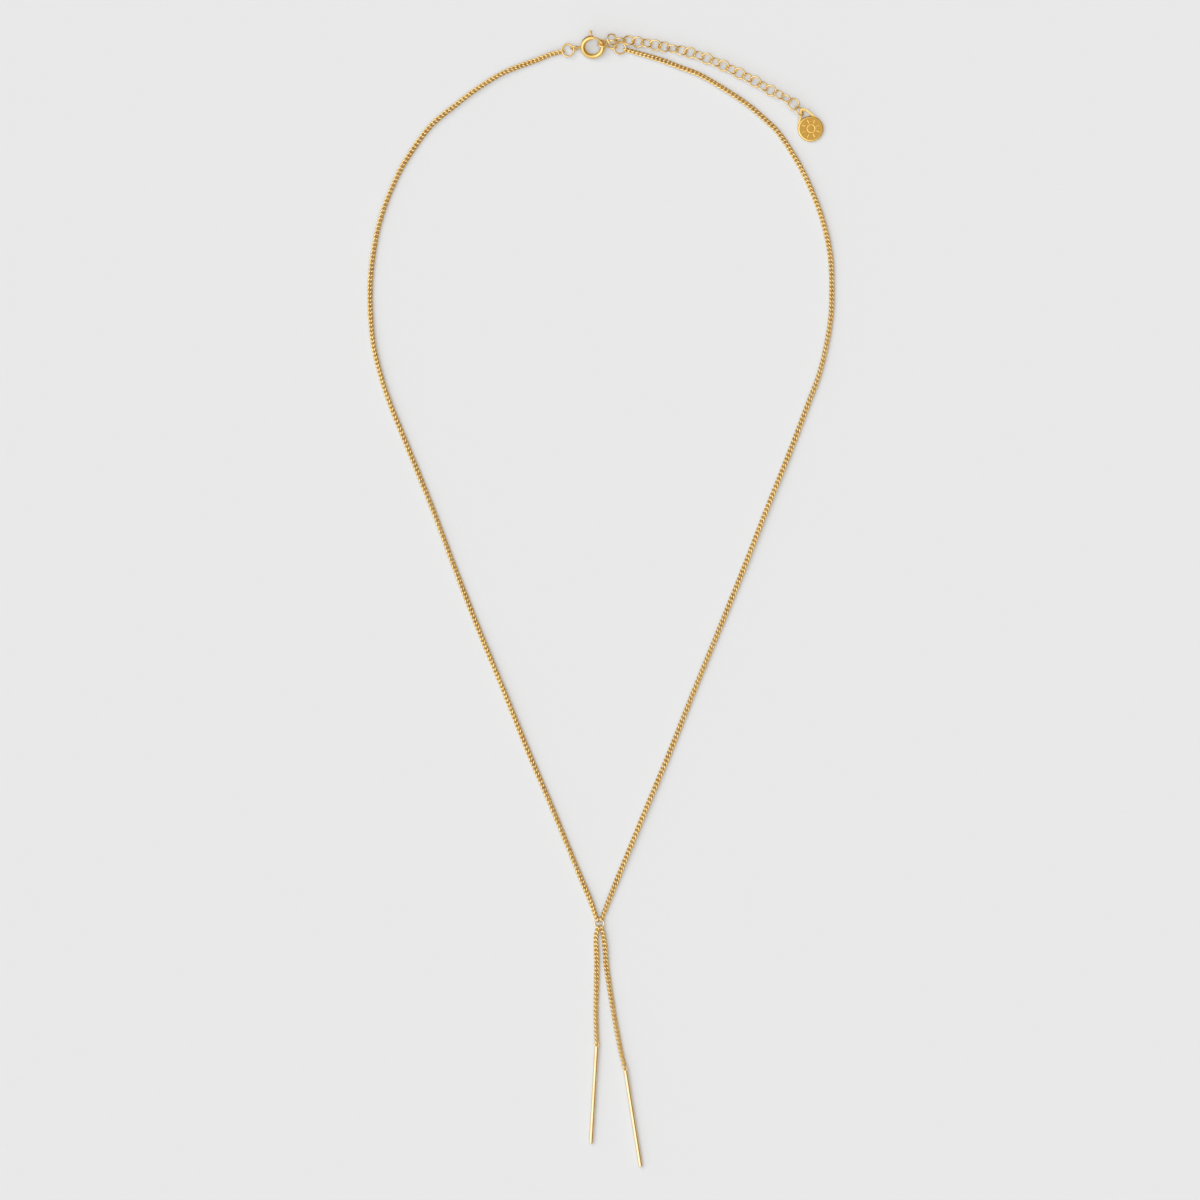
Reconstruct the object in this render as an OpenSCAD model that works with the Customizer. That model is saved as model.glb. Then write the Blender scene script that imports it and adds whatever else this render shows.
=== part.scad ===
// A fine y necklace that lies flat. Two curb chains run from a spring ring clasp down to a small
// ring, and two short curb strands go on below it, each with a straight bar on its end.
// A cable chain with a round tag runs on from the clasp, so that the necklace can be worn longer.
// The neck chains are plain tubes of the chain's outer form between two real end links.

/* [Curb chain] */
// Thickness of the wire of a curb link
curb_wire = 0.31; // [0.28:0.01:0.34]
// Width of the chain across its links
curb_w = 1.34; // [1.3:0.01:1.4]
// Distance from one link to the next
curb_pitch = 1; // [0.98:0.01:1.04]
// Play of a link along the chain between its neighbours
curb_play = 0.2; // [0.18:0.01:0.24]
// Turn of each end of a link out of its middle plane, in degrees
curb_twist = 57; // [54:1:60]
// Roll of a link on a flat ring, in degrees, which stands its end upright
curb_end_roll = 55; // [50:1:60]
// Distance from the wire of a ring to the middle of the link on it
curb_seat = 0.24; // [0.2:0.01:0.26]

/* [Clasp] */
// Outer diameter of the spring ring
clasp_d = 6; // [5.6:0.1:6.6]
// Diameter of its tube
clasp_tube = 1.2; // [1.1:0.05:1.3]
// Tilt of the spring ring as it lies, in degrees
clasp_tilt = 24; // [20:1:28]
// Diameter of the bolt that closes the gap
bolt_d = 0.5; // [0.44:0.01:0.54]
// Radial clearance of the bolt in the tube
bolt_clear = 0.05; // [0.03:0.01:0.08]
// How far the bolt slides back round the ring, in degrees
bolt_travel = 50; // [46:1:52]
// Diameter of the ball that the thumbnail pushes
thumb_d = 0.68; // [0.5:0.02:0.8]
// Distance of the ball beyond the tube
thumb_reach = 0.97; // [0.8:0.01:1.2]
// Diameter of the stem under the ball
stem_d = 0.42; // [0.36:0.01:0.44]
// Outer diameter of the eyelet soldered to the tube
eyelet_d = 2.3; // [2.2:0.05:2.5]
// Wire of the eyelet
eyelet_wire = 0.42; // [0.36:0.01:0.46]

/* [Rings] */
// Wire of the catch ring, the junction ring and the right end ring
ring_wire = 0.4; // [0.36:0.01:0.44]
// Outer diameter of the ring held in the clasp
catch_d = 2.9; // [2.8:0.05:3.1]
// Outer diameter of the ring that joins the catch ring, the right end ring and the extender
junction_d = 3.3; // [3.2:0.05:3.5]
// Outer diameter of the ring on the right chain
end_right_d = 3.2; // [3.1:0.05:3.4]
// Outer diameter of the ring on the left chain
end_left_d = 3.3; // [3.2:0.05:3.5]
// Wire of the ring on the left chain
end_left_wire = 0.43; // [0.4:0.01:0.46]
// Outer diameter of the ring where the four chains meet
y_ring_d = 2.55; // [2.5:0.05:2.8]
// Wire of that ring
y_ring_wire = 0.38; // [0.34:0.01:0.4]

/* [Extender] */
// Outer diameter of an extender link
ext_d = 3.04; // [2.98:0.02:3.14]
// Wire of an extender link
ext_wire = 0.38; // [0.34:0.01:0.4]

/* [Tag] */
// Diameter of the tag
tag_d = 6.24; // [5.8:0.1:6.6]
// Thickness of the tag, whose edge is a full round
tag_t = 0.8; // [0.7:0.05:0.9]
// Reach of the tag's loop beyond its disc
loop_reach = 2.33; // [2.2:0.05:2.6]
// Wire of the loop
loop_wire = 0.5; // [0.44:0.02:0.54]
// Length cut from each side of a corner of the loop by its bend
loop_bend = 0.4; // [0.3:0.05:0.5]
// Depth of the sun engraved in the tag
engrave = 0.18; // [0.12:0.02:0.24]
// Diameter of the circle in the middle of the sun
sun_d = 1.9; // [1.6:0.1:2.2]
// Width of the engraved grooves
line_w = 0.46; // [0.3:0.02:0.5]
// Number of rays of the sun
rays = 8; // [6:1:10]
// Length of a ray
ray_l = 0.8; // [0.6:0.05:0.9]
// Gap between the circle and the rays
ray_gap = 0.25; // [0.2:0.05:0.35]

/* [Bars] */
// Length of a bar
bar_l = 23.3; // [20:0.1:26]
// Diameter of a bar
bar_d = 1; // [0.9:0.02:1.1]
// Outer diameter of the eye on a bar
eye_d = 1.42; // [1.38:0.01:1.5]
// Wire of the eye
eye_wire = 0.38; // [0.34:0.01:0.4]
// Chamfer round the free end of a bar
bar_chamfer = 0.08; // [0.04:0.01:0.12]

/* [Hidden] */
// Moves the drawing so that the middle of its outline is the origin
shift = [0.02, 0.08, 0];
// Gap kept between the lowest metal and the surface
floor_gap = 0.01;
// Gap kept between a real end link and the tube that stands for the rest of the chain
tube_gap = 0.12;
// Route of each chain between the links on its rings, chosen by hand
way_left = [
    [-12.5, 130.4], [-15.5, 129.2], [-19.9, 127.6], [-24.5, 125.6], [-30.2, 122],
    [-34.9, 118.4], [-39.4, 114.8], [-42.7, 111.2], [-47.5, 104], [-50.9, 96.8], [-53.3, 89.6],
    [-54.7, 82.4], [-55.4, 75.2], [-55.3, 68], [-54.6, 60.8], [-52.9, 53.6], [-50.5, 46.4],
    [-46.1, 35.6], [-40.3, 21.2], [-34.9, 6.8], [-29.3, -7.6], [-23.4, -22], [-17.6, -36.4],
    [-11.5, -50.8], [-5.6, -65.2], [-2.6, -72.4], [-1.5, -75.6]
];
way_right = [
    [9.4, 130.7], [14.4, 129.2], [19.2, 127.4], [23.8, 125.6], [30, 122],
    [35.3, 118.4], [39.5, 114.8], [43, 111.2], [47.6, 104], [51, 96.8], [53.5, 89.6],
    [55, 82.4], [55.4, 75.2], [55.2, 68], [54.1, 60.8], [52.3, 53.6], [49.6, 46.4],
    [45.5, 35.6], [39.7, 21.2], [34.1, 6.8], [28.3, -7.6], [22.4, -22], [16.7, -36.4],
    [10.7, -50.8], [4.8, -65.2], [1.9, -72.4], [0.7, -75.6]
];
way_drop_left = [
    [-1.1, -80.6], [-1.2, -82.2], [-1.1, -84.6], [-1, -88.2], [-1.1, -94], [-1.2, -99.7]
];
way_drop_right = [
    [0.5, -80.5], [0.8, -82.2], [1, -84.2], [1.3, -88.2], [1.8, -91.6], [2.6, -96.8], [3.6, -102.6],
    [4.7, -108.4]
];
route_extender = [
    [8.8, 133.5], [11, 133.2], [14.2, 132.5], [17.8, 131.8], [21.4, 130.9], [25.4, 129.5],
    [29.4, 127.8], [33.1, 126], [37, 124], [40.8, 121.8], [44.3, 120], [46.2, 118.6], [47.55, 116.97]
];

// Places of the pieces that the routes run to
clasp_xy = [-1.97, 132.29];
y_ring_xy = [-0.4, -78];
bar_left_xy = [-1, -107];
bar_left_heading = -93.4;
bar_right_xy = [5.8, -112.8];
bar_right_heading = -81;
tag_xy = [50.3, 112.7];
tag_heading = 23;
tag_tilt = 3;

// Smoothness of the true round surfaces and of the meshed links and tubes
$fn = 48;
link_steps = 12;
wire_sides = 6;
tube_rings = 40;
tube_sides = 8;
span_steps = 10;

// Half sizes of a curb link along and across the chain, to the middle of its wire
curb_half_l = (curb_pitch + curb_wire + curb_play) / 2;
curb_half_w = (curb_w - curb_wire) / 2;
curb_t = curb_wire + 2 * curb_half_w * max([for (t = [0 : 2 : 90]) sin(t) * sin(curb_twist * cos(t))]);
// Links over which a chain turns from its flat run to its end roll and rises to its ring
curb_fade = 13;
// Height of the centre of a link that stands on its edge, and so of the rings in such links
upright_z = curb_half_w + curb_wire / 2 + floor_gap;

// Radii of the ring parts to the middle of their wire
clasp_r = (clasp_d - clasp_tube) / 2;
ext_r = (ext_d - ext_wire) / 2;

// Angles round the clasp: its gap, the bolt in it, the stem and the bore that the bolt slides in
gap_from = 45;
gap_to = 88;
bolt_from = 40;
bolt_to = 122;
stem_angle = 96.6;
angle_play = 2;
bore_d = bolt_d + 2 * bolt_clear;
slot_w = stem_d + 2 * bolt_clear;

// Clasp rings: each centre is a share of the reach between two linked rings from the ring before
function reach(d1, w1, d2, w2) = (d1 + d2) / 2 - w1 - w2;
rest_play = 0.07;
eyelet_neck = 0.14;
y_ring_at = [y_ring_xy.x, y_ring_xy.y, upright_z];
clasp_at = [clasp_xy.x, clasp_xy.y, clasp_r * sin(clasp_tilt) + clasp_tube / 2 + rest_play];
eyelet_tilt = 68;
eyelet_off = [-clasp_d / 2 - eyelet_d / 2 - eyelet_neck, -0.24, -0.55];
eyelet_at = clasp_at + eyelet_off;
end_left_at = eyelet_at + reach(eyelet_d, eyelet_wire, end_left_d, end_left_wire) * [-0.85, -0.264, -0.13];
catch_at = clasp_at + clasp_r * [1.013, 0.379, 0.05];
junction_at = catch_at + reach(catch_d, ring_wire, junction_d, ring_wire) * [0.923, -0.119, -0.071];
end_right_at = junction_at
    + reach(junction_d, ring_wire, end_right_d, ring_wire) * [0.794, -0.35, -0.264];
link1_at = junction_at + reach(junction_d, ring_wire, ext_d, ext_wire) * [0.03, 0.495, 0.256];
link2_at = link1_at + reach(ext_d, ext_wire, ext_d, ext_wire) * [0.837, -0.052, -0.316];
link3_at = link2_at + reach(ext_d, ext_wire, ext_d, ext_wire) * [0.935, -0.046, -0.123];
// Each row: centre, heading of the line that stays level, tilt about that line
catch_pose = [catch_at, 0, -50];
junction_pose = [junction_at, -10, 51];
end_right_pose = [end_right_at, 77, 11];
end_left_pose = [end_left_at, 0, 0];
first_links = [[link1_at, 111, 39], [link2_at, -1, 74], [link3_at, -11, -39]];

// Extender: the usual rolls of odd and even links, and rows of link, roll and rise for the others
ext_links = 24;
ext_on_route = 4;
ext_roll_odd = -47;
ext_roll_even = 28;
ext_other = [
    [4, 29, 0], [7, -32, 0], [8, 55, 0], [9, -40, 0], [22, 58, 0], [23, -14, 0.3], [24, -62, 0]
];
// Height of a slack link's centre, as a share of its radius above a flat one
ext_slack = 0.65;

// Vectors and curves
function unit(v) = v / norm(v);
function bend(a, b, c, d, t) = (2 * b + (c - a) * t + (2 * a - 5 * b + 4 * c - d) * t * t
    + (3 * b - a - 3 * c + d) * t * t * t) / 2;
function smooth(p) = let (n = len(p) - 1) concat(
    [for (i = [0 : n - 1], k = [0 : span_steps - 1]) bend(
        i == 0 ? 2 * p[0] - p[1] : p[i - 1], p[i], p[i + 1],
        i == n - 1 ? 2 * p[n] - p[n - 1] : p[i + 2], k / span_steps)],
    [p[n]]);
function running(p) = [
    for (i = 0, s = 0; i < len(p); s = s + (i + 1 < len(p) ? norm(p[i + 1] - p[i]) : 0), i = i + 1) s
];
// A track is a smoothed route that can be read at any length along it
function track(route) = let (p = smooth(route), r = running(p), n = len(p) - 1) [
    [for (i = [0 : n]) [r[i], p[i].x]], [for (i = [0 : n]) [r[i], p[i].y]], r[n]];
function spot(tr, s) = [lookup(s, tr[0]), lookup(s, tr[1]), 0];
function along(tr, s) = unit(spot(tr, min(s + 0.1, tr[2])) - spot(tr, max(s - 0.1, 0)));

// Share of the end's rise and roll at a length from the end
function fade(s) = max(0, 1 - s / (curb_fade * curb_pitch));
function chain_z(tr, s, z0, z1) = let (low = curb_t / 2 + floor_gap)
    low + (z0 - low) * fade(s) + (z1 - low) * fade(tr[2] - s);
function chain_spot(tr, s, z0, z1) = spot(tr, s) + [0, 0, chain_z(tr, s, z0, z1)];
function chain_count(tr) = round(tr[2] / curb_pitch) + 1;

// Middle of a curb link's wire: an oval whose ends are turned out of its plane, one each way
function curb_mid(t, dir, roll, hand) = let (
    side = unit(cross([0, 0, 1], dir)), up = cross(dir, side),
    turn = hand * curb_twist * cos(t) + roll)
    curb_half_l * cos(t) * dir + curb_half_w * sin(t) * (cos(turn) * side + sin(turn) * up);
function curb_points(at, dir, roll, hand) = [
    for (i = [0 : link_steps - 1]) let (
        t = 360 * i / link_steps,
        mid = curb_mid(t, dir, roll, hand),
        ahead = unit(curb_mid(t + 1, dir, roll, hand) - curb_mid(t - 1, dir, roll, hand)),
        out = unit(mid - (mid * ahead) * ahead),
        over = cross(ahead, out))
    for (j = [0 : wire_sides - 1]) let (a = 360 * j / wire_sides)
        at + mid + curb_wire / 2 * (cos(a) * out + sin(a) * over)
];
// Place and roll of link i of a chain: rows of [centre, direction, roll]
function curb_pose(tr, i, n, z0, z1, hand) = let (s = tr[2] * i / (n - 1)) [
    chain_spot(tr, s, z0, z1), along(tr, s),
    hand * curb_end_roll * (fade(tr[2] - s) - fade(s))
];

// Faces of a swept band of n rings with m points each
function band_faces(n, m, closed) = [
    for (i = [0 : n - (closed ? 1 : 2)], j = [0 : m - 1]) let (
        a = i * m + j, b = i * m + (j + 1) % m, c = ((i + 1) % n) * m + j,
        d = ((i + 1) % n) * m + (j + 1) % m)
    each [[a, b, d], [a, d, c]]
];
function cap_faces(n, m) = [[for (j = [0 : m - 1]) m - 1 - j], [for (j = [0 : m - 1]) (n - 1) * m + j]];
function tube_ring(at, dir) = let (side = unit(cross([0, 0, 1], dir)), grow = 1 / cos(180 / tube_sides)) [
    for (j = [0 : tube_sides - 1]) let (a = 360 * (j + 0.5) / tube_sides)
        at + grow * (curb_w / 2 * cos(a) * side + [0, 0, curb_t / 2 * sin(a)])
];

// Shared forms
module ring(d, wire) {
    rotate_extrude() translate([(d - wire) / 2, 0]) circle(d = wire, $fn = 24);
}
module place(pose) {
    translate(shift + pose[0]) rotate([0, 0, pose[1]]) rotate([pose[2], 0, 0]) children();
}
module arc_rod(r, d, from, sweep) {
    rotate([0, 0, from]) rotate_extrude(angle = sweep) translate([r, 0]) circle(d = d, $fn = 24);
}
module rod(a, b, d) {
    v = b - a;
    translate(a) rotate([0, acos(v.z / norm(v)), atan2(v.y, v.x)]) cylinder(h = norm(v), d = d, $fn = 24);
}
module curb_link(pose, hand) {
    polyhedron(curb_points(pose[0], pose[1], pose[2], hand), band_faces(link_steps, wire_sides, true));
}

// Neck chain: a real link at each end and a tube of the chain's outer form between them
module neck_chain(route, z0, z1, hand) {
    tr = track(route);
    n = chain_count(tr);
    from = curb_half_l + curb_wire / 2 + tube_gap;
    step = (tr[2] - 2 * from) / (tube_rings - 1);
    translate(shift) {
        curb_link(curb_pose(tr, 0, n, z0, z1, hand), hand);
        curb_link(curb_pose(tr, n - 1, n, z0, z1, hand), hand);
        polyhedron(
            [for (i = [0 : tube_rings - 1]) let (s = from + i * step)
                each tube_ring(chain_spot(tr, s, z0, z1), along(tr, s))],
            concat(band_faces(tube_rings, tube_sides, false), cap_faces(tube_rings, tube_sides)));
    }
}
// Drop chain: every link is real
module drop_chain(route, z0, z1, hand) {
    tr = track(route);
    n = chain_count(tr);
    translate(shift) for (i = [0 : n - 1]) curb_link(curb_pose(tr, i, n, z0, z1, hand), hand);
}

// Centre of the link that hangs on a ring in a given direction from the ring's centre
function seat(at, d, wire, heading) = let (r = (d - wire) / 2 + curb_seat)
    [at.x + r * cos(heading), at.y + r * sin(heading)];
route_left = concat([seat(end_left_at, end_left_d, end_left_wire, 191)], way_left,
    [seat(y_ring_at, y_ring_d, y_ring_wire, 118)]);
route_right = concat([seat(end_right_at, end_right_d, ring_wire, -16)], way_right,
    [seat(y_ring_at, y_ring_d, y_ring_wire, 62)]);
route_drop_left = concat([seat(y_ring_at, y_ring_d, y_ring_wire, -108)], way_drop_left,
    [seat(bar_left_xy, eye_d, eye_wire, 91)]);
route_drop_right = concat([seat(y_ring_at, y_ring_d, y_ring_wire, -64)], way_drop_right,
    [seat(bar_right_xy, eye_d, eye_wire, 104)]);
left_link_z = end_left_at.z;
right_link_z = max(upright_z, end_right_at.z - (end_right_d - ring_wire) / 2 * sin(end_right_pose[2]));

module chain_left() {
    color("goldenrod") neck_chain(route_left, left_link_z, upright_z, 1);
}
module chain_right() {
    color("goldenrod") neck_chain(route_right, right_link_z, upright_z, -1);
}
module drop_chain_left() {
    color("goldenrod") drop_chain(route_drop_left, upright_z, upright_z, -1);
}
module drop_chain_right() {
    color("goldenrod") drop_chain(route_drop_right, upright_z, upright_z, -1);
}

module end_ring_left() {
    color("gold") place(end_left_pose) ring(end_left_d, end_left_wire);
}
module catch_ring() {
    color("gold") place(catch_pose) ring(catch_d, ring_wire);
}
module junction_ring() {
    color("gold") place(junction_pose) ring(junction_d, ring_wire);
}
module end_ring_right() {
    color("gold") place(end_right_pose) ring(end_right_d, ring_wire);
}
module y_ring() {
    color("khaki") place([y_ring_at, 0, 0]) ring(y_ring_d, y_ring_wire);
}

// Spring ring: a tube with a gap, a blind bore for the bolt, a slot for its stem, and the eyelet
module clasp_body() {
    slot_play = asin((slot_w / 2) / (clasp_r + clasp_tube / 2));
    color("goldenrod") translate(shift) {
        difference() {
            translate(clasp_at) rotate([clasp_tilt, 0, 0])
                arc_rod(clasp_r, clasp_tube, gap_to, 360 + gap_from - gap_to);
            translate(clasp_at) rotate([clasp_tilt, 0, 0]) {
                arc_rod(clasp_r, bore_d, gap_to - 1, bolt_to + bolt_travel + angle_play - gap_to + 1);
                arc_rod(clasp_r, bore_d, bolt_from - angle_play, gap_from - bolt_from + angle_play + 1);
                rotate([0, 0, stem_angle - slot_play])
                    rotate_extrude(angle = bolt_travel + 2 * slot_play)
                        translate([clasp_r, -slot_w / 2]) square([clasp_tube, slot_w]);
            }
        }
        translate(eyelet_at) rotate([eyelet_tilt, 0, 0]) ring(eyelet_d, eyelet_wire);
        rod(
            eyelet_at + [(eyelet_d - eyelet_wire) / 2, 0, 0],
            clasp_at + [-clasp_r - clasp_tube / 2 + 0.12, 0, -0.18], eyelet_wire);
    }
}
module clasp_bolt() {
    color("gold") translate(shift + clasp_at) rotate([clasp_tilt, 0, 0]) {
        arc_rod(clasp_r, bolt_d, bolt_from, bolt_to - bolt_from);
        rotate([0, 0, stem_angle]) translate([clasp_r, 0, 0]) rotate([0, 90, 0])
            cylinder(h = clasp_tube / 2 + thumb_reach, d = stem_d, $fn = 24);
        rotate([0, 0, stem_angle]) translate([clasp_r + clasp_tube / 2 + thumb_reach, 0, 0])
            sphere(d = thumb_d, $fn = 24);
    }
}

// Extender links: the first three lie over the rings, the others follow the route
function ext_row(i) = let (k = search(i, ext_other, 1, 0))
    len(k) > 0 ? ext_other[k[0]] : [i, i % 2 == 1 ? ext_roll_odd : ext_roll_even, 0];
function ext_pose(i) = i < ext_on_route ? first_links[i - 1] : let (
    tr = track(route_extender),
    s = tr[2] * (i - ext_on_route) / (ext_links - ext_on_route),
    dir = unit(spot(tr, min(s + 0.3, tr[2])) - spot(tr, max(s - 0.3, 0))),
    row = ext_row(i),
    z = ext_wire / 2 + floor_gap + ext_r * max(abs(sin(row[1])), ext_slack) + row[2])
    [spot(tr, s) + [0, 0, z], atan2(dir.y, dir.x), row[1]];
function ext_name(i) = str("extender_link_", i < 10 ? "0" : "", i);
module extender_link(i) {
    color("gold") place(ext_pose(i)) ring(ext_d, ext_wire);
}

// Tag: a round disc with a full round edge, a sun engraved in its face and a bent wire loop
face_r = (tag_d - tag_t) / 2;
tag_r = tag_d / 2;
// Feet and corners of the loop, skewed as it is bent: shares of the disc's radius and of the reach
loop_feet = [tag_r * [0.67, 0.63], tag_r * [-0.73, 0.58]];
loop_corners = [
    [0.23 * tag_r, tag_r + 0.7 * loop_reach],
    [-0.11 * tag_r, tag_r + loop_reach - loop_wire / 2]
];
bend_steps = 6;
function corner_bend(before, at, after) = let (
    from = at + loop_bend * unit(before - at), to = at + loop_bend * unit(after - at))
    [for (k = [0 : bend_steps]) let (t = k / bend_steps)
        (1 - t) * (1 - t) * from + 2 * t * (1 - t) * at + t * t * to];
loop_path = concat([loop_feet[0]], corner_bend(loop_feet[0], loop_corners[0], loop_corners[1]),
    corner_bend(loop_corners[0], loop_corners[1], loop_feet[1]), [loop_feet[1]]);
// One edge of the loop's wire: its path moved sideways
function loop_edge(out) = let (n = len(loop_path) - 1) [
    for (i = [0 : n]) let (ahead = unit(loop_path[min(i + 1, n)] - loop_path[max(i - 1, 0)]))
        loop_path[i] + out * [ahead.y, -ahead.x]
];
function backwards(p) = [for (i = [len(p) - 1 : -1 : 0]) p[i]];
module end_tag() {
    lift = face_r * sin(tag_tilt) + tag_t / 2 + floor_gap;
    color("darkgoldenrod") place([[tag_xy.x, tag_xy.y, lift], tag_heading, tag_tilt]) {
        difference() {
            rotate_extrude() union() {
                translate([0, -tag_t / 2]) square([face_r, tag_t]);
                intersection() {
                    translate([face_r, 0]) circle(d = tag_t, $fn = 32);
                    translate([face_r - tag_t / 4, -tag_t]) square(2 * tag_t);
                }
            }
            sun();
        }
        linear_extrude(loop_wire, center = true)
            polygon(concat(loop_edge(loop_wire / 2), backwards(loop_edge(-loop_wire / 2))));
    }
}
module sun() {
    groove_r = (line_w * line_w / 4 + engrave * engrave) / (2 * engrave);
    translate([0, 0, tag_t / 2 - engrave + groove_r]) {
        rotate_extrude() translate([sun_d / 2, 0]) circle(r = groove_r, $fn = 24);
        for (i = [0 : rays - 1]) rotate([0, 0, 360 * i / rays])
            translate([(sun_d + line_w) / 2 + ray_gap, 0, 0]) rotate([0, 90, 0])
                cylinder(h = ray_l, r = groove_r, $fn = 24);
    }
}

// Bar: a straight round rod with a small eye fused to its end, which the upright link holds up
module bar(at, heading) {
    eye_seat = eye_d / 2 - eye_wire / 2;
    droop = asin((upright_z - bar_d / 2 - floor_gap) / (bar_l + eye_seat));
    translate(shift + [at.x, at.y, upright_z]) rotate([0, droop, heading]) {
        ring(eye_d, eye_wire);
        translate([eye_seat, 0, 0]) rotate([0, 90, 0]) {
            cylinder(h = bar_l - bar_chamfer, d = bar_d);
            translate([0, 0, bar_l - bar_chamfer])
                cylinder(h = bar_chamfer, d1 = bar_d, d2 = bar_d - 2 * bar_chamfer);
        }
    }
}
module bar_left() {
    color("goldenrod") bar(bar_left_xy, bar_left_heading);
}
module bar_right() {
    color("goldenrod") bar(bar_right_xy, bar_right_heading);
}

chain_left();
chain_right();
end_ring_left();
clasp_body();
clasp_bolt();
catch_ring();
junction_ring();
end_ring_right();
for (i = [1 : ext_links]) extender_link(i);
end_tag();
y_ring();
drop_chain_left();
drop_chain_right();
bar_left();
bar_right();
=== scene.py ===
import math
from collections import namedtuple

import bpy
import numpy as np
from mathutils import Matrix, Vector


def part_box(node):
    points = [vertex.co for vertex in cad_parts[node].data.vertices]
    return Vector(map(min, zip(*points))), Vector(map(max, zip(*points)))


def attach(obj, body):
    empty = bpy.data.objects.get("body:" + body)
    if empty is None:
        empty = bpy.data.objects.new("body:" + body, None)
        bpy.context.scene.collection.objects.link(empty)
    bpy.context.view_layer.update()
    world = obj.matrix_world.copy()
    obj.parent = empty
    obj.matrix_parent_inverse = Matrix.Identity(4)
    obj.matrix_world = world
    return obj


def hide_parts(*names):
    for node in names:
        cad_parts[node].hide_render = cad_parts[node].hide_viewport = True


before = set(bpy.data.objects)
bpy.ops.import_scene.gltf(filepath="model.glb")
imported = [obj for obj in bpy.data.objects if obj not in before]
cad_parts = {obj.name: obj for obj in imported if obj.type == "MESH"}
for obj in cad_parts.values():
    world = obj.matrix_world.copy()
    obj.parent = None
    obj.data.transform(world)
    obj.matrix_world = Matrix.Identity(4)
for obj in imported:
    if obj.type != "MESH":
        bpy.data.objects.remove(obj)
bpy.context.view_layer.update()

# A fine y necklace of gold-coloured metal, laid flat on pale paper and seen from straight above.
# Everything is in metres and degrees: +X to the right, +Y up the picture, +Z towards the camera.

# Curb chain. Its route and the number and pitch of its links are the CAD model's. Its wire is
# thicker and more twisted, and its links roll slowly to and fro, as the photo shows them.
WIRE = 0.0004
CHAIN_WIDTH = 0.00138
PITCH = 0.001
# Gap along the chain between the wires of two linked ends
PLAY = 0.00015
# Most turn of a link's ends out of its plane
TWIST = 65
# Roll of the first and last link, and the number of links over which it fades out
END_ROLL = 55
FADE_LINKS = 13
# Most roll to either side between the ends, and the length of one sway to and fro
SWAY = 38
SWAY_LENGTH = 0.08
# From the middle of a ring's wire to the centre of the link that hangs on it
SEAT = 0.00024
# Between the lowest wire and the paper
FLOOR_GAP = 0.00001

# Middle line of a link's wire, and the height of a link that stands on its edge
HALF_LENGTH = (PITCH + WIRE + PLAY) / 2
HALF_WIDTH = (CHAIN_WIDTH - WIRE) / 2
UPRIGHT_Z = HALF_WIDTH + WIRE / 2 + FLOOR_GAP

# Fineness of the meshes: steps round a link, sides of its wire, steps between two route points
LINK_STEPS = 24
WIRE_SIDES = 10
SPAN_STEPS = 10
# Small steps that measure a direction: round a link in radians, and along a route
ANGLE_STEP = 0.02
ROUTE_STEP = 0.0001

# Routes of the chains between their end rings, in the CAD model's drawing frame, and the shift
# from that frame to the part's own
SHIFT = Vector((0.00002, 0.00008, 0))
WAY_LEFT = [
    (-0.0125, 0.1304), (-0.0155, 0.1292), (-0.0199, 0.1276), (-0.0245, 0.1256), (-0.0302, 0.122),
    (-0.0349, 0.1184), (-0.0394, 0.1148), (-0.0427, 0.1112), (-0.0475, 0.104), (-0.0509, 0.0968),
    (-0.0533, 0.0896), (-0.0547, 0.0824), (-0.0554, 0.0752), (-0.0553, 0.068), (-0.0546, 0.0608),
    (-0.0529, 0.0536), (-0.0505, 0.0464), (-0.0461, 0.0356), (-0.0403, 0.0212), (-0.0349, 0.0068),
    (-0.0293, -0.0076), (-0.0234, -0.022), (-0.0176, -0.0364), (-0.0115, -0.0508),
    (-0.0056, -0.0652), (-0.0026, -0.0724), (-0.0015, -0.0756),
]
WAY_RIGHT = [
    (0.0094, 0.1307), (0.0144, 0.1292), (0.0192, 0.1274), (0.0238, 0.1256), (0.03, 0.122),
    (0.0353, 0.1184), (0.0395, 0.1148), (0.043, 0.1112), (0.0476, 0.104), (0.051, 0.0968),
    (0.0535, 0.0896), (0.055, 0.0824), (0.0554, 0.0752), (0.0552, 0.068), (0.0541, 0.0608),
    (0.0523, 0.0536), (0.0496, 0.0464), (0.0455, 0.0356), (0.0397, 0.0212), (0.0341, 0.0068),
    (0.0283, -0.0076), (0.0224, -0.022), (0.0167, -0.0364), (0.0107, -0.0508),
    (0.0048, -0.0652), (0.0019, -0.0724), (0.0007, -0.0756),
]
WAY_DROP_LEFT = [
    (-0.0011, -0.0806), (-0.0012, -0.0822), (-0.0011, -0.0846), (-0.001, -0.0882),
    (-0.0011, -0.094), (-0.0012, -0.0997),
]
WAY_DROP_RIGHT = [
    (0.0005, -0.0805), (0.0008, -0.0822), (0.001, -0.0842), (0.0013, -0.0882),
    (0.0018, -0.0916), (0.0026, -0.0968), (0.0036, -0.1026), (0.0047, -0.1084),
]

# Plated metal: its clear coat, the noise values of its deep and its light tone, how much finer
# its ripples are than its tone's mottling, and their height
COAT = 0.4
COAT_ROUGHNESS = 0.12
DEEP_AT = 0.35
LIGHT_AT = 0.65
RIPPLE_FINENESS = 5
RIPPLE_HEIGHT = 0.00002
MOTTLE_DETAIL = 3
RIPPLE_DETAIL = 2

# Round tag: its middle, the heading of its level line and its tilt about that line, half its
# thickness, and the radius of the satin and its painted shade on its upper face
TAG_MIDDLE = (0.05032, 0.11278, 0.00055)
TAG_HEADING = 23
TAG_TILT = 3
TAG_HALF = 0.0004
SATIN_AND_SHADE_REACH = 0.00275
# Half the width of the soft border of the satin and its painted shade, and the depths in a groove
# where they are whole and end
SATIN_AND_SHADE_EDGE = 0.00003
SATIN_AND_SHADE_WHOLE = 0.00001
SATIN_AND_SHADE_END = 0.00003

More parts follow.
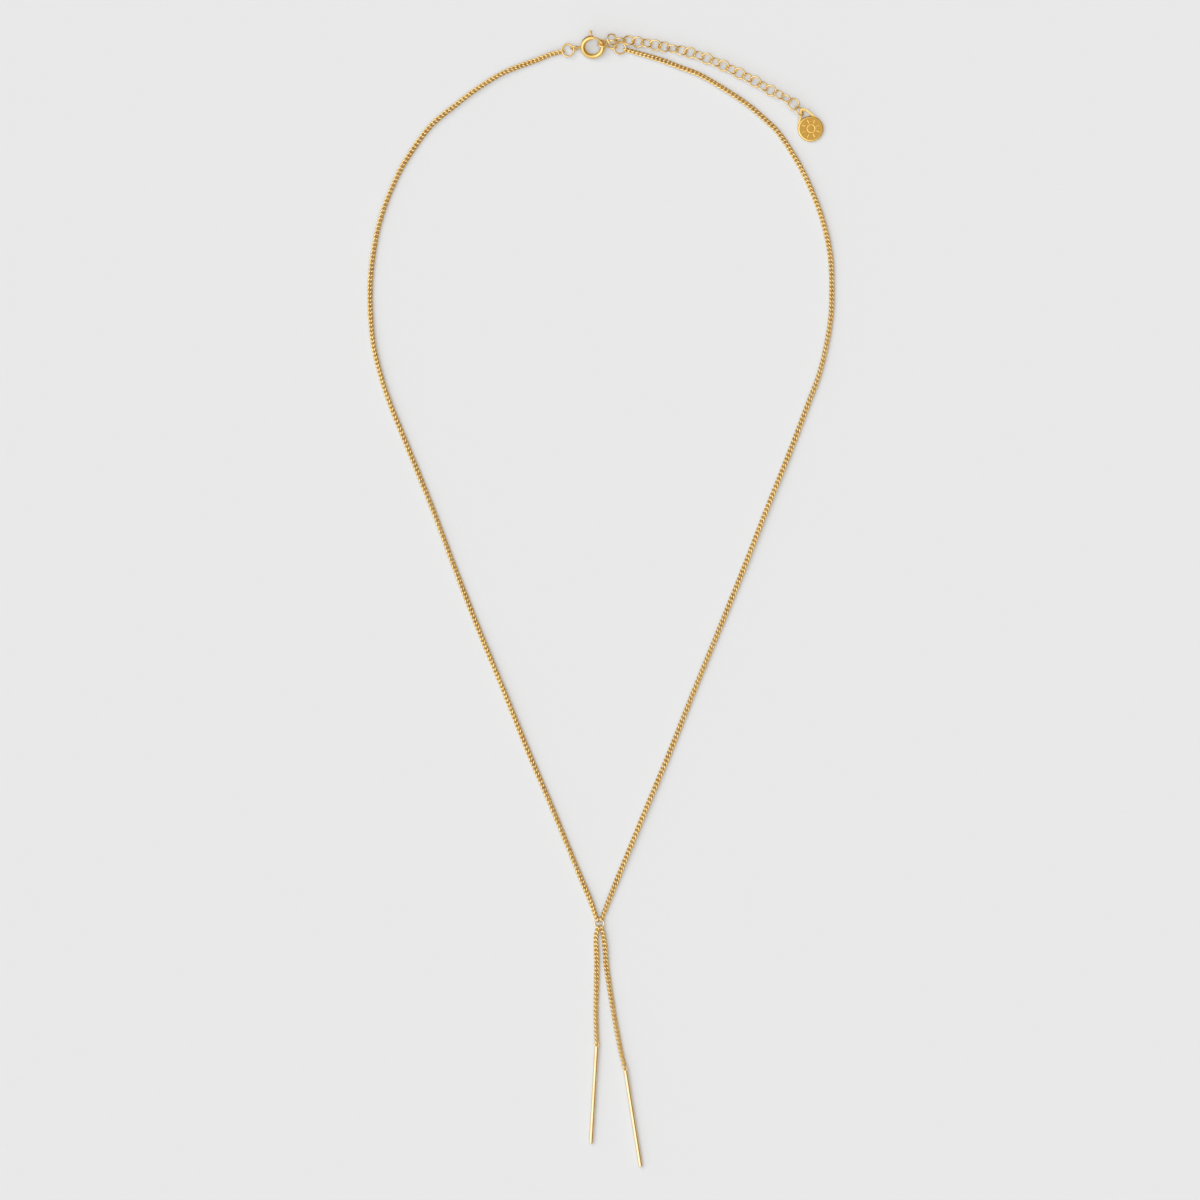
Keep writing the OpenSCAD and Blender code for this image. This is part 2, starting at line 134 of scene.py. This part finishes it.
# Paper
PAPER_REACH = 3
PAPER_COLOUR = (0.553, 0.581, 0.595)
PAPER_ROUGHNESS = 0.9
PAPER_GLOSS = 0.1

# Room: direction of its wide soft light, and its colours from the side opposite that light, at 0,
# to the light's middle, at 1
SOFTBOX_TOWARDS = (-0.7, -0.4, 1)
ROOM_STOPS = [
    (0, (0.1, 0.055, 0.02)), (0.55, (0.15, 0.085, 0.04)), (0.72, (0.37, 0.29, 0.21)),
    (0.84, (0.47, 0.44, 0.42)), (0.93, (0.7, 0.71, 0.76)), (1, (0.84, 0.85, 0.92)),
]
ROOM_STRENGTH = 2

# Camera: straight above its aim, with the photo's width of 1200 pixels of 0.24 mm in view
CAMERA_PLACE = (-0.00022, -0.00028, 3)
VIEW_WIDTH = 0.288
SENSOR_WIDTH = 36


# Shapes

Ring = namedtuple("Ring", "centre diameter wire")


def middle_of(node):
    """Middle of a CAD node's box, in the drawing frame of the routes."""
    low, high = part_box(node)
    return (low + high) / 2 - SHIFT


def seat(ring, heading):
    """Centre of the link that hangs on a ring, in a direction from the ring's centre."""
    radius = (ring.diameter - ring.wire) / 2 + SEAT
    angle = math.radians(heading)
    return (ring.centre.x + radius * math.cos(angle), ring.centre.y + radius * math.sin(angle))


def smooth(points):
    """A curve through the points, as a fine row of points."""
    p = [2 * points[0] - points[1]] + points + [2 * points[-1] - points[-2]]
    fine = []
    for i in range(1, len(p) - 2):
        a, b, c, d = p[i - 1:i + 3]
        for k in range(SPAN_STEPS):
            t = k / SPAN_STEPS
            fine.append((2 * b + (c - a) * t + (2 * a - 5 * b + 4 * c - d) * t ** 2
                         + (3 * b - a - 3 * c + d) * t ** 3) / 2)
    return np.array([tuple(v) for v in fine + [points[-1]]])


class Track:
    """A smoothed route that can be read at any length along it."""

    def __init__(self, route):
        self.points = smooth([Vector(point) for point in route])
        steps = np.linalg.norm(np.diff(self.points, axis=0), axis=1)
        self.at = np.concatenate([[0], np.cumsum(steps)])
        self.length = self.at[-1]

    def spot(self, s):
        return np.array([np.interp(s, self.at, self.points[:, 0]),
                         np.interp(s, self.at, self.points[:, 1]), 0])

    def along(self, s):
        after = self.spot(min(s + ROUTE_STEP, self.length))
        before = self.spot(max(s - ROUTE_STEP, 0))
        return (after - before) / np.linalg.norm(after - before)


def link_middle(t, along, side, up, roll, hand):
    """Middle of a curb link's wire at angle t: an oval whose ends are turned out of its plane."""
    turn = math.radians(hand * TWIST * math.cos(t)) + roll
    return (HALF_LENGTH * math.cos(t) * along
            + HALF_WIDTH * math.sin(t) * (math.cos(turn) * side + math.sin(turn) * up))


def link_points(centre, along, roll, hand):
    """Points of a link's surface: a ring of them round its wire at each step round the link."""
    side = np.cross((0, 0, 1), along)
    up = np.cross(along, side)
    points = []
    for i in range(LINK_STEPS):
        t = 2 * math.pi * i / LINK_STEPS
        middle = link_middle(t, along, side, up, roll, hand)
        ahead = (link_middle(t + ANGLE_STEP, along, side, up, roll, hand)
                 - link_middle(t - ANGLE_STEP, along, side, up, roll, hand))
        ahead /= np.linalg.norm(ahead)
        out = middle - middle.dot(ahead) * ahead
        out /= np.linalg.norm(out)
        over = np.cross(ahead, out)
        for j in range(WIRE_SIDES):
            a = 2 * math.pi * j / WIRE_SIDES
            points.append(centre + middle + WIRE / 2 * (math.cos(a) * out + math.sin(a) * over))
    return points


def link_faces(first):
    """Faces between the rings of a link's points, which start at the number given."""
    faces = []
    for i in range(LINK_STEPS):
        for j in range(WIRE_SIDES):
            a = first + i * WIRE_SIDES
            b = first + (i + 1) % LINK_STEPS * WIRE_SIDES
            k = (j + 1) % WIRE_SIDES
            faces.append((a + j, a + k, b + k, b + j))
    return faces


def fade(s):
    """Share of an end's roll and height at a distance from it, from 1 down to 0."""
    return max(0, 1 - s / (FADE_LINKS * PITCH))


def lying_height(roll, hand):
    """Height of a rolled link's centre above the surface that it lies on."""
    axes = np.eye(3)
    angles = [2 * math.pi * i / LINK_STEPS for i in range(LINK_STEPS)]
    lowest = min(link_middle(angle, *axes, roll, hand)[2] for angle in angles)
    return WIRE / 2 + FLOOR_GAP - lowest


def curb_chain(name, node, hand, route, start_z, end_z):
    """Real curb links along a route, as one mesh that stands for a CAD node."""
    track = Track(route)
    count = round(track.length / PITCH) + 1
    verts, faces = [], []
    for i in range(count):
        s = track.length * i / (count - 1)
        start, end = fade(s), fade(track.length - s)
        sway = SWAY * (1 - start) * (1 - end) * math.sin(2 * math.pi * s / SWAY_LENGTH)
        roll = math.radians(hand * (END_ROLL * (end - start) + sway))
        low = lying_height(roll, hand)
        height = low + (start_z - low) * start + (end_z - low) * end
        centre = track.spot(s) + np.array((SHIFT.x, SHIFT.y, height))
        faces += link_faces(len(verts))
        verts += link_points(centre, track.along(s), roll, hand)
    mesh = bpy.data.meshes.new(name)
    mesh.from_pydata([tuple(v) for v in verts], [], faces)
    mesh.polygons.foreach_set("use_smooth", [True] * len(faces))
    chain = bpy.data.objects.new(name, mesh)
    bpy.context.scene.collection.objects.link(chain)
    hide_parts(node)
    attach(chain, "necklace")
    return chain


# Materials

def metal(name, light, deep, rough, spread, scale, bump):
    """Plated metal: a slightly uneven tone, uneven polish and faint ripples from its making."""
    material = bpy.data.materials.new(name)
    material.use_nodes = True
    nodes, links = material.node_tree.nodes, material.node_tree.links
    shader = nodes["Principled BSDF"]
    shader.inputs["Metallic"].default_value = 1
    shader.inputs["Coat Weight"].default_value = COAT
    shader.inputs["Coat Roughness"].default_value = COAT_ROUGHNESS
    where = nodes.new("ShaderNodeTexCoord")
    mottle = nodes.new("ShaderNodeTexNoise")
    mottle.inputs["Scale"].default_value = scale
    mottle.inputs["Detail"].default_value = MOTTLE_DETAIL
    links.new(where.outputs["Object"], mottle.inputs["Vector"])
    tone = nodes.new("ShaderNodeValToRGB")
    for stop, at, colour in zip(tone.color_ramp.elements, (DEEP_AT, LIGHT_AT), (deep, light)):
        stop.position = at
        stop.color = (*colour, 1)
    links.new(mottle.outputs["Fac"], tone.inputs["Fac"])
    links.new(tone.outputs["Color"], shader.inputs["Base Color"])
    polish = nodes.new("ShaderNodeMapRange")
    polish.inputs["To Min"].default_value = rough - spread
    polish.inputs["To Max"].default_value = rough + spread
    links.new(mottle.outputs["Fac"], polish.inputs["Value"])
    links.new(polish.outputs["Result"], shader.inputs["Roughness"])
    ripple = nodes.new("ShaderNodeTexNoise")
    ripple.inputs["Scale"].default_value = scale * RIPPLE_FINENESS
    ripple.inputs["Detail"].default_value = RIPPLE_DETAIL
    links.new(where.outputs["Object"], ripple.inputs["Vector"])
    relief = nodes.new("ShaderNodeBump")
    relief.inputs["Strength"].default_value = bump
    relief.inputs["Distance"].default_value = RIPPLE_HEIGHT
    links.new(ripple.outputs["Fac"], relief.inputs["Height"])
    links.new(relief.outputs["Normal"], shader.inputs["Normal"])
    return material


def step_node(nodes, links, value, start, end):
    """A node that runs from 0 to 1 while a value runs from start to end."""
    step = nodes.new("ShaderNodeMapRange")
    step.inputs["From Min"].default_value = start
    step.inputs["From Max"].default_value = end
    links.new(value, step.inputs["Value"])
    return step.outputs["Result"]


def tag_face_node(nodes, links):
    """1 on the tag's upper face, and 0 on its round edge and its loop and in its grooves."""
    place = nodes.new("ShaderNodeNewGeometry")
    offset = nodes.new("ShaderNodeVectorMath")
    offset.operation = "SUBTRACT"
    offset.inputs[1].default_value = TAG_MIDDLE
    links.new(place.outputs["Position"], offset.inputs[0])
    reach = nodes.new("ShaderNodeVectorMath")
    reach.operation = "LENGTH"
    links.new(offset.outputs["Vector"], reach.inputs[0])
    height = nodes.new("ShaderNodeVectorMath")
    height.operation = "DOT_PRODUCT"
    heading, tilt = math.radians(TAG_HEADING), math.radians(TAG_TILT)
    height.inputs[1].default_value = (
        math.sin(tilt) * math.sin(heading), -math.sin(tilt) * math.cos(heading), math.cos(tilt))
    links.new(offset.outputs["Vector"], height.inputs[0])
    inside = step_node(nodes, links, reach.outputs["Value"],
                       SATIN_AND_SHADE_REACH + SATIN_AND_SHADE_EDGE, SATIN_AND_SHADE_REACH - SATIN_AND_SHADE_EDGE)
    level = step_node(nodes, links, height.outputs["Value"],
                      TAG_HALF - SATIN_AND_SHADE_END, TAG_HALF - SATIN_AND_SHADE_WHOLE)
    face = nodes.new("ShaderNodeMath")
    face.operation = "MULTIPLY"
    links.new(inside, face.inputs[0])
    links.new(level, face.inputs[1])
    return face.outputs["Value"]


def satin_and_shade_face(material, satin_shade, rough):
    """Turns the tag's metal satin and uncoated on its upper face, with a darker colour there that is
    painted shade, and leaves the rest polished.
    """
    nodes, links = material.node_tree.nodes, material.node_tree.links
    shader = nodes["Principled BSDF"]
    face = tag_face_node(nodes, links)
    # On the upper face the base colour is a darker copy of the tag's metal: painted shade.
    # Each row: the shader's socket, its value on the face, the Mix node's kind, and the numbers of
    # that kind's sockets for the polished value, the face's value and the result
    for socket, value, kind, polished, on_face, result in (
            ("Base Color", (*satin_shade, 1), "RGBA", 6, 7, 2), ("Roughness", rough, "FLOAT", 2, 3, 0)):
        mix = nodes.new("ShaderNodeMix")
        mix.data_type = kind
        links.new(face, mix.inputs["Factor"])
        links.new(shader.inputs[socket].links[0].from_socket, mix.inputs[polished])
        mix.inputs[on_face].default_value = value
        links.new(mix.outputs[result], shader.inputs[socket])
    coat = nodes.new("ShaderNodeMapRange")
    coat.inputs["To Min"].default_value = COAT
    coat.inputs["To Max"].default_value = 0
    links.new(face, coat.inputs["Value"])
    links.new(coat.outputs["Result"], shader.inputs["Coat Weight"])


CHAIN_GOLD = metal("chain_gold", light=(0.95, 0.76, 0.36), deep=(0.91, 0.66, 0.24),
                   rough=0.16, spread=0.04, scale=900, bump=0.2)
RING_GOLD = metal("ring_gold", light=(0.95, 0.74, 0.34), deep=(0.91, 0.65, 0.24),
                  rough=0.18, spread=0.04, scale=500, bump=0.15)
PALE_GOLD = metal("pale_gold", light=(0.97, 0.83, 0.52), deep=(0.93, 0.76, 0.42),
                  rough=0.25, spread=0.05, scale=500, bump=0.15)
CLASP_GOLD = metal("clasp_gold", light=(0.86, 0.63, 0.23), deep=(0.81, 0.55, 0.15),
                   rough=0.15, spread=0.04, scale=400, bump=0.15)
TAG_GOLD = metal("tag_gold", light=(0.9, 0.66, 0.24), deep=(0.84, 0.56, 0.15),
                 rough=0.2, spread=0.05, scale=1500, bump=0.3)
BAR_GOLD = metal("bar_gold", light=(0.94, 0.77, 0.46), deep=(0.9, 0.7, 0.38),
                 rough=0.2, spread=0.04, scale=300, bump=0.15)
# The satin's darker colour is painted shade: it dims the tag's upper face, which would otherwise
# mirror the wide soft light brightly.
satin_and_shade_face(TAG_GOLD, satin_shade=(0.57, 0.355, 0.078), rough=0.45)

# Metals of the CAD nodes that show. The other rings and links are RING_GOLD.
NODE_METALS = {
    "clasp_body": CLASP_GOLD, "clasp_bolt": CLASP_GOLD, "end_tag": TAG_GOLD, "y_ring": PALE_GOLD,
    "bar_left": BAR_GOLD, "bar_right": BAR_GOLD,
}


# Pieces

# The rings and the bars' eyes that the chains end on
end_left = Ring(middle_of("end_ring_left"), diameter=0.0033, wire=0.00043)
end_right = Ring(middle_of("end_ring_right"), diameter=0.0032, wire=0.0004)
fork = Ring(middle_of("y_ring"), diameter=0.00255, wire=0.00038)
eye_left = Ring(Vector((-0.001, -0.107)), diameter=0.00142, wire=0.00038)
eye_right = Ring(Vector((0.0058, -0.1128)), diameter=0.00142, wire=0.00038)

chains = [
    curb_chain("curb_chain_left", "chain_left", hand=1,
               route=[seat(end_left, heading=191), *WAY_LEFT, seat(fork, heading=118)],
               start_z=end_left.centre.z, end_z=UPRIGHT_Z),
    curb_chain("curb_chain_right", "chain_right", hand=-1,
               route=[seat(end_right, heading=-16), *WAY_RIGHT, seat(fork, heading=62)],
               start_z=UPRIGHT_Z, end_z=UPRIGHT_Z),
    curb_chain("curb_drop_left", "drop_chain_left", hand=-1,
               route=[seat(fork, heading=-108), *WAY_DROP_LEFT, seat(eye_left, heading=91)],
               start_z=UPRIGHT_Z, end_z=UPRIGHT_Z),
    curb_chain("curb_drop_right", "drop_chain_right", hand=-1,
               route=[seat(fork, heading=-64), *WAY_DROP_RIGHT, seat(eye_right, heading=104)],
               start_z=UPRIGHT_Z, end_z=UPRIGHT_Z),
]
for chain in chains:
    chain.data.materials.append(CHAIN_GOLD)

# The CAD nodes that no chain stands for keep their shape and get their metal
for node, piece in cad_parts.items():
    if not piece.hide_render:
        piece.data.materials.clear()
        piece.data.materials.append(NODE_METALS.get(node, RING_GOLD))


# Floor, light and camera

def paper():
    """A wide sheet of pale matt paper that everything lies on."""
    mesh = bpy.data.meshes.new("paper")
    corners = [(x * PAPER_REACH, y * PAPER_REACH, 0) for x, y in ((-1, -1), (1, -1), (1, 1), (-1, 1))]
    mesh.from_pydata(corners, [], [(0, 1, 2, 3)])
    sheet = bpy.data.objects.new("paper", mesh)
    bpy.context.scene.collection.objects.link(sheet)
    material = bpy.data.materials.new("paper")
    material.use_nodes = True
    shader = material.node_tree.nodes["Principled BSDF"]
    shader.inputs["Base Color"].default_value = (*PAPER_COLOUR, 1)
    shader.inputs["Roughness"].default_value = PAPER_ROUGHNESS
    shader.inputs["Specular IOR Level"].default_value = PAPER_GLOSS
    sheet.data.materials.append(material)


def studio():
    """A dim warm room with a wide soft light above the lower left of the picture."""
    world = bpy.context.scene.world or bpy.data.worlds.new("studio")
    bpy.context.scene.world = world
    world.use_nodes = True
    nodes, links = world.node_tree.nodes, world.node_tree.links
    where = nodes.new("ShaderNodeTexCoord")
    facing = nodes.new("ShaderNodeVectorMath")
    facing.operation = "DOT_PRODUCT"
    facing.inputs[1].default_value = Vector(SOFTBOX_TOWARDS).normalized()
    links.new(where.outputs["Generated"], facing.inputs[0])
    share = step_node(nodes, links, facing.outputs["Value"], -1, 1)
    ramp = nodes.new("ShaderNodeValToRGB")
    stops = ramp.color_ramp.elements
    for stop, (at, colour) in zip(stops, (ROOM_STOPS[0], ROOM_STOPS[-1])):
        stop.position = at
        stop.color = (*colour, 1)
    for at, colour in ROOM_STOPS[1:-1]:
        stops.new(at).color = (*colour, 1)
    links.new(share, ramp.inputs["Fac"])
    links.new(ramp.outputs["Color"], nodes["Background"].inputs["Color"])
    nodes["Background"].inputs["Strength"].default_value = ROOM_STRENGTH


def soft_light(name, towards, spread, strength):
    """A far soft source for the paper and the shadows. The metals mirror the room alone."""
    data = bpy.data.lights.new(name, "SUN")
    data.angle = math.radians(spread)
    data.energy = strength
    lamp = bpy.data.objects.new(name, data)
    lamp.rotation_euler = Vector(towards).to_track_quat("Z", "Y").to_euler()
    lamp.visible_glossy = False
    bpy.context.scene.collection.objects.link(lamp)


def camera():
    """A camera that looks straight down and sees the width of the photo at the paper."""
    data = bpy.data.cameras.new("camera")
    data.sensor_width = SENSOR_WIDTH
    data.lens = SENSOR_WIDTH * CAMERA_PLACE[2] / VIEW_WIDTH
    viewer = bpy.data.objects.new("camera", data)
    viewer.location = CAMERA_PLACE
    bpy.context.scene.collection.objects.link(viewer)
    bpy.context.scene.camera = viewer


paper()
studio()
soft_light("key", towards=(-1, 1, 1.4), spread=34, strength=0.75)
soft_light("top", towards=(0, 0, 1), spread=36, strength=1.25)
camera()
bpy.context.scene.view_settings.view_transform = "Standard"
